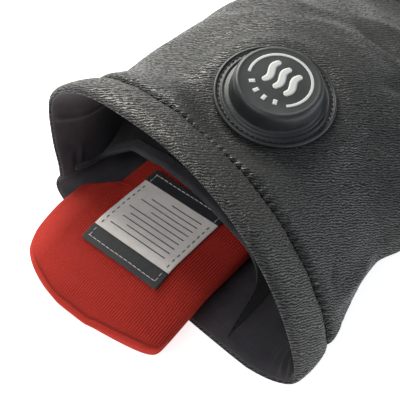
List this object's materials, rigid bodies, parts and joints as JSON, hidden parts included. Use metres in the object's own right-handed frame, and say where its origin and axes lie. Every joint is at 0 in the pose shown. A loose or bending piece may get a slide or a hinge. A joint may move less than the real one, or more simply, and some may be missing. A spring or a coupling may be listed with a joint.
{
  "type": "heated glove",
  "caption": "Padded leather glove, hollow from its wide cuff to the fingertips, with a round silicone control button on the wrist and a fabric battery sleeve in a pocket inside the cuff.",
  "frame": {"origin": "middle of the glove's box, on the floor it lies on", "axes": "+X towards the fingertips, +Y towards the little finger's side, +Z from the palm to the back of the hand"},
  "size_m": [0.295, 0.1684, 0.0677],
  "materials": {
    "leather": "black grained leather, satin",
    "band_leather": "black grained leather, turned and stitched",
    "lining": "smooth black lining cloth",
    "pocket_fabric": "thin black woven cloth",
    "hem_tape": "charcoal woven tape",
    "sleeve_fabric": "red finely ribbed fabric",
    "label_fabric": "white satin label tape with dark ends",
    "silicone": "satin charcoal silicone"
  },
  "bodies": {
    "root": {"hem_band": "band_leather", "cuff_leather": "leather", "hand_leather": "leather", "index_finger": "leather", "middle_finger": "leather", "ring_finger": "leather", "little_finger": "leather", "thumb": "leather", "cuff_lining": "lining", "battery_pocket": "pocket_fabric", "pocket_hem": "hem_tape", "battery_sleeve": "sleeve_fabric", "sleeve_label": "label_fabric", "controller_button": "silicone"}
  },
  "joints": []
}
